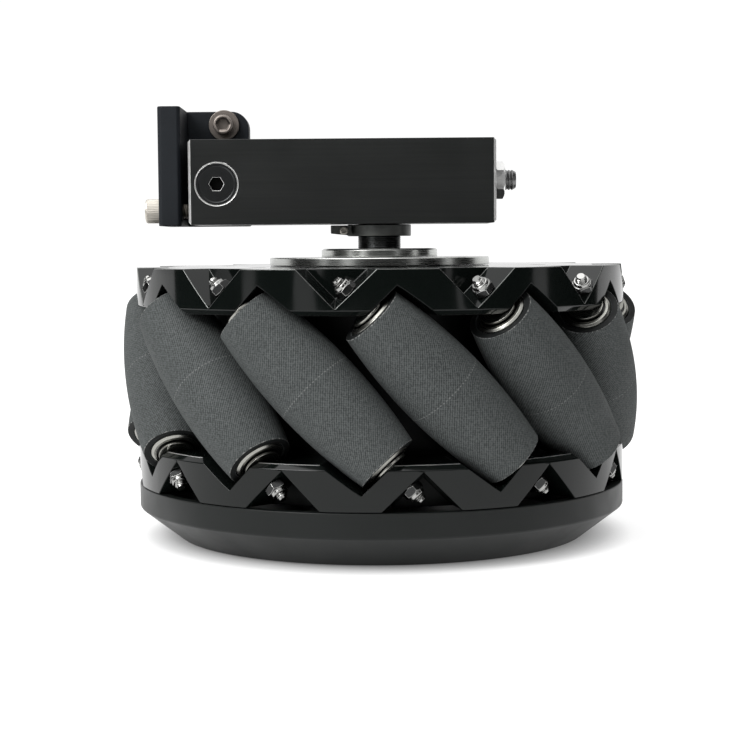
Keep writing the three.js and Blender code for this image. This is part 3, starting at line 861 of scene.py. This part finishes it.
def add_end_cover(dark, steel):
    """A flange with a spigot in the rim's bore, open above for the bearing."""
    low, high, outer = END_LOW.z, END_HIGH.z, END_HIGH.x
    spigot, seat, hole, edge = RIM_BORE_R - GAP, 17.8, 12.5, 0.3
    flange, floor = high - 3, low + 2
    corners = [(hole, low), (spigot, low, edge), (spigot, flange), (outer, flange, 0.2),
               (outer, high - edge, 0.1), (outer - edge, high, 0.1), (seat, high, edge),
               (seat, floor), (hole, floor)]
    places = screw_places(END_SCREWS, high)
    cover = sink_heads(lathe("end_cover", rounded(corners), 160), END_SCREWS, places)
    piece("end_cover", cover, "wheel", [dark], ["inner_end_cover"])
    add_flush_screws("end_cover", END_SCREWS, places, steel)


def add_bearing_cap(dark, steel):
    """A bevelled disc with a shallow sink round the shaft."""
    low, high = CAP_LOW.z, CAP_HIGH.z
    bore, outer, sunk_by, sink_r = SHAFT_R + GAP, CAP_HIGH.x, 0.5, 3
    corners = [(bore, low), (outer, low, 0.2), (outer, high - 0.6, 0.2), (outer - 0.9, high, 0.3),
               (bore + sink_r, high, 0.2), (bore + sink_r - 0.4, high - sunk_by, 0.1),
               (bore, high - sunk_by)]
    places = screw_places(CAP_SCREWS, high)
    cap = sink_heads(lathe("cap", rounded(corners), 128), CAP_SCREWS, places)
    piece("cap", cap, "wheel", [dark], ["bearing_cap"])
    add_flush_screws("cap", CAP_SCREWS, places, steel)


def add_shaft(dark):
    """The shaft, with a fine-pitched thread from the bearing cap up to the arm."""
    low, high = SHAFT_LOW.z, SHAFT_HIGH.z
    carrier, half, passage, chamfer = SHAFT_HIGH.x, 16, 3.2, 0.6
    threaded = thread(SHAFT_R, CAP_HIGH.z + 0.2, COLLAR_LOW.z - 0.2, pitch=0.75, deep=0.25)
    profile = [(0, low), (SHAFT_R - chamfer, low), (SHAFT_R, low + chamfer), (SHAFT_R, MID - half),
               (carrier, MID - half), (carrier, MID + half), (SHAFT_R, MID + half), *threaded,
               (SHAFT_R, COLLAR_LOW.z), (SHAFT_R, high - chamfer), (SHAFT_R - chamfer, high),
               (passage, high), (passage, MID), (0, MID)]
    piece("shaft", lathe("shaft", profile, 96), "arm", [dark], ["main_shaft"])


def add_collar(dark, steel):
    """A split clamp: a disc with a lug, whose lower corner is cut off at a slant."""
    low, high = COLLAR_LOW.z, COLLAR_HIGH.z
    outer, end = COLLAR_HIGH.x, COLLAR_LOW.x
    lug_half, slant, slant_long, inset, edge, slit_half, hole_r = 6, 1.1, 9, 0.2, 0.4, 0.4, 1.3
    disc = lathe("disc", rounded([(0, low), (outer, low, edge), (outer, high, edge),
                                  (0, high)]), 96)
    side = [(0, low + inset), (end + slant_long, low + inset), (end, low + slant),
            (end, high - inset), (0, high - inset)]
    lug = moved(prism("lug", side, -lug_half, lug_half), turn(math.pi / 2, "X"))
    middle = (end - SHAFT_R - GAP) / 2
    height = (low + high) / 2
    across = shift(middle, 0, height) @ ALONG_Y
    slit = box("slit", (end - 1, -slit_half, low - 1), (0, slit_half, high + 1))
    tools = [cylinder("bore", SHAFT_R + GAP, low - 1, high + 1, 96), slit,
             moved(cylinder("hole", hole_r, -FAR, FAR, 24), across)]
    body = carve(combine(disc, lug, "UNION"), tools)
    piece("collar", soften(body, 0.3), "arm", [dark], ["shaft_collar"])
    screw = cap_screw(head_r=1.8, head_height=2, shank_r=1, length=10, pitch=0.5, ridges=18)
    piece("collar_screw_fine", screw, "arm", [steel], ["collar_screw"],
          shift(middle, -lug_half - GAP, height) @ ALONG_Y)


# ------------------------------------------------ arm, bracket and screws

def add_arm(black, highlight_metal):
    """The bar, bored for the shaft, the stud, and the pivot screw with its bush."""
    low, high = ARM_LOW, ARM_HIGH
    bar = bar_along_x("bar", low, high, ARM_BEVEL)
    pivot = shift(PIVOT.x, 0, PIVOT.z) @ ALONG_Y
    sink_r, bush_r, bush_front = 8.55, 6.5, -12.75
    sunk = [(0, low.y - 1), (sink_r, low.y - 1), (sink_r, low.y), (PIVOT_BORE_R, bush_front),
            (bush_r, bush_front), (bush_r, high.y + 1), (0, high.y + 1)]
    stud = shift(z=STUD_LOW.z + STUD_R) @ ALONG_X
    tools = [cylinder("bore", SHAFT_R + GAP, low.z - 1, high.z + 1, 96),
             moved(cylinder("stud_hole", STUD_BORE_R, 0, FAR, 48), stud),
             moved(lathe("pivot_hole", sunk, 96), pivot)]
    body = soften(carve(bar, tools), 0.25, weld=0.02)

    # The end chamfers and the faces in the pivot's sink take bright aluminium: painted highlights.
    def painted_highlight_face(face):
        at, across = face.center, abs(face.normal.x)
        at_end = min(at.x - low.x, high.x - at.x) < ARM_BEVEL and 0.3 < across < 0.95
        from_pivot = math.hypot(at.x - PIVOT.x, at.z - PIVOT.z)
        flat = abs(face.normal.y) > 0.97
        in_sink = at.y < bush_front and from_pivot < sink_r + 0.25 and not flat
        return at_end or in_sink
    repaint(body, painted_highlight_face)
    piece("arm_bar", body, "arm", [black, highlight_metal], ["swing_arm"])


def add_pivot_screw(dark, highlight_metal, black):
    """A flat countersunk screw: its face has a turned rim round a shallow dish."""
    top, end = PIVOT_LOW.y, PIVOT_HIGH.y
    dish_r, rim_in, rim_out, head_r, shank_r, tip = 6.9, 7.2, 8.1, 8.25, 4, 0.5
    dish, edge = top + 0.25, top + 0.3
    corners = [(0, dish), (dish_r, dish), (rim_in, top, 0.1), (rim_out, top, 0.1), (head_r, edge),
               (shank_r, edge + head_r - shank_r), (shank_r, end - tip), (shank_r - tip, end),
               (0, end)]
    body = lathe("pivot", rounded(corners), 96)
    socket = hexagon("socket", 5, top - 1, top + 3)
    body = soften(carve(body, [socket]), 0.16, weld=0.01)

    def finish_of(face):
        """1 is an edge of the head or of its socket, bright as a painted highlight, and 2 the
        inside of the socket, near-black as painted shade.
        """
        r = math.hypot(face.center.x, face.center.y)
        by_socket, by_edge = r < 3.2, r > 7.9
        slanted = 0.2 < abs(face.normal.z) < 0.97
        if face.center.z < top + 0.45:
            return 1 if slanted and (by_edge or by_socket) else 0
        return 2 if by_socket else 0
    repaint(body, finish_of)
    piece("pivot_screw_fine", body, "bracket", [dark, highlight_metal, black], ["pivot_screw"],
          shift(PIVOT.x, 0, PIVOT.z) @ ALONG_Y)


def add_stud_and_nut(dark, bright):
    start, end = STUD_LOW.x, STUD_HIGH.x
    tip = 0.8
    threaded = thread(STUD_R, start + tip, end - tip, pitch=1.25, deep=0.3)
    profile = [(0, start), (STUD_R - tip, start), *threaded, (STUD_R - tip, end), (0, end)]
    stud = carve(lathe("stud", profile, 64), [hexagon("socket", 4, end - 4, end + 1)])
    place = shift(z=STUD_LOW.z + STUD_R) @ ALONG_X
    piece("stud", stud, "arm", [dark], ["clamp_stud"], place)
    nut = hex_nut(flats=13, bore=STUD_BORE_R, low=NUT_LOW.x, high=NUT_HIGH.x)
    piece("lock_nut_fine", nut, "arm", [bright], ["lock_nut"], place)


def lug_outline():
    left, right = BRACKET_LOW.x, BRACKET_HIGH.x
    low, high, r = BRACKET_LOW.z, BRACKET_HIGH.z, 7
    corner = [(right - r + r * math.cos(a), high - r + r * math.sin(a))
              for a in (math.pi / 2 * i / 10 for i in range(11))]
    return [(left, low), (right, low), *corner, (left, high)]


def add_bracket(black):
    """A plate beside the arm's end and a lug behind the arm, with holes for three screws."""
    low, high = BRACKET_LOW, BRACKET_HIGH
    edge, plate_right, lug_front = 1.2, low.x + 8.95, 17.5
    plate = prism("plate", [(low.x, high.y), (low.x, low.y + edge), (low.x + edge, low.y),
                            (plate_right - edge, low.y), (plate_right, low.y + edge),
                            (plate_right, high.y)], low.z, high.z)
    lug = moved(prism("lug", lug_outline(), -high.y, -lug_front), turn(math.pi / 2, "X"))
    jack = shift(z=JACK_LOW.z + JACK_HEAD_R) @ ALONG_X
    pivot = shift(PIVOT.x, 0, PIVOT.z) @ ALONG_Y
    screw = shift(LUG.x, 0, LUG.z) @ ALONG_Y
    tools = [moved(cylinder("jack", JACK_BORE_R, -FAR * 2, 0, 48), jack),
             moved(cylinder("pivot", PIVOT_BORE_R, 0, FAR, 48), pivot),
             moved(cylinder("screw", LUG_BORE_R, 0, FAR, 48), screw)]
    body = carve(combine(plate, lug, "UNION"), tools)
    piece("bracket_body", soften(body, 0.45, weld=0.02), "bracket", [black],
          ["chassis_bracket"])


def add_bracket_screws(stainless, dull):
    seat = JACK_LOW.x + JACK_HEAD
    jack = cap_screw(JACK_HEAD_R, JACK_HEAD, shank_r=3, length=JACK_HIGH.x - seat, pitch=1,
                     ridges=40)
    piece("jack_screw_fine", jack, "bracket", [stainless], ["jack_screw"],
          shift(seat, 0, JACK_LOW.z + JACK_HEAD_R) @ ALONG_X)
    # The lug screw and its washer take the darker stainless, painted shade.
    head = 5
    seat = LUG_LOW.y + head
    screw = cap_screw(4, head, shank_r=2.5, length=LUG_HIGH.y - seat, pitch=0.8, ridges=34)
    piece("lug_screw_fine", screw, "bracket", [dull], ["lug_screw"],
          shift(LUG.x, seat, LUG.z) @ ALONG_Y)
    low, high, r = WASHER_LOW.y, WASHER_HIGH.y, WASHER_HIGH.x - LUG.x
    washer = lathe("washer", rounded([(LUG_BORE_R, low), (r, low, 0.2), (r, high, 0.2),
                                      (LUG_BORE_R, high)]), 64)
    piece("washer", washer, "bracket", [dull], ["lug_washer"],
          shift(LUG.x, 0, LUG.z) @ ALONG_Y)


# ----------------------------------------------------- camera and studio

def add_camera():
    """In front of the wheel and a little above it, looking slightly down."""
    camera = bpy.data.objects.new("camera", bpy.data.cameras.new("camera"))
    bpy.context.scene.collection.objects.link(camera)
    camera.data.lens = 81.9
    camera.data.clip_end = 50
    side, distance, height, looks_down, leans = -6.12, 663.03, 113.84, 4.1625, -0.461
    place = shift(side * MM, -distance * MM, height * MM)
    pitch, roll = math.radians(90 - looks_down), math.radians(leans)
    camera.matrix_world = place @ turn(pitch, "X") @ turn(roll, "Z")
    bpy.context.scene.camera = camera


def stage_object(name, bm, material):
    mesh = bpy.data.meshes.new(name)
    bm.to_mesh(mesh)
    bm.free()
    mesh.materials.append(material)
    obj = bpy.data.objects.new(name, mesh)
    bpy.context.scene.collection.objects.link(obj)
    return obj


def make_floor():
    """A pale floor that glows a little, except under the object: the dark disc there is painted
    shade, and the glow round it washes out the object's cast shadow.
    """
    floor = Shader("floor", (0.45, 0.45, 0.45), 0.8, Specular_IOR_Level=0.1)
    floor.set("Emission Color", (1, 1, 1, 1))
    at = floor.node("ShaderNodeSeparateXYZ", Vector=floor.coords.outputs["Object"])
    squares = [floor.math("MULTIPLY", axis, axis) for axis in at.outputs[:2]]
    # No glow inside the first radius, painted shade under the object; full glow from the second
    # out.
    painted_shade_r, lit_r, glow = 0.072, 0.1, 0.75
    glowing = floor.node("ShaderNodeMapRange", Value=floor.math("ADD", *squares),
                         From_Min=painted_shade_r ** 2, From_Max=lit_r ** 2, To_Max=glow)
    floor.link(glowing.outputs[0], "Emission Strength")
    return worn(floor, 0.75, 0.85, 5, 0.0)


def add_floor(half, z):
    bm = bmesh.new()
    corners = [(-half, -half), (half, -half), (half, half), (-half, half)]
    bm.faces.new([bm.verts.new((x, y, z)) for x, y in corners])
    stage_object("floor", bm, make_floor())


def softbox(name, at, width, height, power, aim=(0, 0, 0.06)):
    light = bpy.data.lights.new(name, "AREA")
    light.shape = "RECTANGLE"
    light.size, light.size_y, light.energy = width, height, power
    lamp = bpy.data.objects.new(name, light)
    bpy.context.scene.collection.objects.link(lamp)
    lamp.location = at
    lamp.rotation_euler = (Vector(aim) - Vector(at)).to_track_quat("-Z", "Y").to_euler()


def add_flags():
    """Black cards round the front of the table, at the camera's height, with gaps between them.
    The camera doesn't see them: they are only there to darken the reflections."""
    black = Shader("flag", (0.004, 0.004, 0.004), 1.0, Specular_IOR_Level=0.0)
    material = worn(black, 0.9, 1.0, 5, 0.0)
    reach, low, steps = 1.15, -0.0003, 12
    for number, (start, end, high) in enumerate(FLAGS):
        bm = bmesh.new()
        columns = []
        for k in range(steps + 1):
            angle = math.radians(start + (end - start) * k / steps)
            x, y = reach * math.sin(angle), -reach * math.cos(angle)
            columns.append([bm.verts.new((x, y, z)) for z in (low, high)])
        for here, after in zip(columns, columns[1:]):
            bm.faces.new([here[0], after[0], after[1], here[1]])
        card = stage_object(f"flag_{number + 1}", bm, material)
        card.visible_camera = False


def add_studio():
    world = bpy.data.worlds.new("studio")
    bpy.context.scene.world = world
    world.use_nodes = True
    sky = world.node_tree.nodes["Background"]
    sky.inputs["Color"].default_value = (1, 1, 1, 1)
    sky.inputs["Strength"].default_value = 1.05
    add_floor(half=8, z=-0.0004)
    add_flags()
    softbox("key", (-0.85, -0.8, 0.9), 0.6, 0.6, power=12)
    softbox("top", (-0.35, -0.1, 1.2), 1.0, 1.0, power=6)
    scene = bpy.context.scene
    scene.view_settings.view_transform = "Standard"
    scene.view_settings.look = "None"


# ------------------------------------------------------------------ scene

def dress(node, material):
    """Gives a node that stays as the CAD has it a material of this scene."""
    for place in frame["nodes"][node].material_slots:
        place.material = material


def build():
    metal = {name: make_metal(name, *look) for name, look in TURNED_METALS.items()}
    for name, look in PLAIN_METALS.items():
        metal[name] = make_metal(name, *look, rings=False)
    dark, stainless, highlight_metal = metal["dark_steel"], metal["stainless"], metal["painted_highlight_aluminium"]
    end_dark = metal["end_cover_dark"]
    drum = make_drum()
    add_camera()
    add_rollers(make_rubber(), make_end_rubber_and_shade(), metal["roller_steel"], metal["axle_zinc"],
                metal["zinc_and_edge_highlight"], metal["shield"])
    add_rims(make_gloss_black(), metal["rim_edge_highlight"], drum, highlight_metal, dark)
    add_cover(make_cover(), dark)
    add_drum(drum)
    add_end_cover(end_dark, stainless)
    add_bearing_cap(end_dark, stainless)
    add_shaft(dark)
    add_collar(metal["collar_steel"], stainless)
    add_arm(make_arm(), highlight_metal)
    add_pivot_screw(dark, highlight_metal, metal["socket_painted_shade"])
    add_stud_and_nut(metal["stud_steel"], metal["bright_zinc"])
    add_bracket(make_bracket())
    add_bracket_screws(stainless, metal["stainless_painted_shade"])
    dress("outer_end_cover", end_dark)
    dress("inner_bearing", metal["bearing_steel"])
    dress("outer_bearing", metal["bearing_steel"])
    dress("pivot_bush", metal["bronze"])
    dress("magnet_ring", metal["magnet"])
    dress("stator_core", metal["laminations"])
    dress("stator_windings", make_copper())
    add_studio()


build()
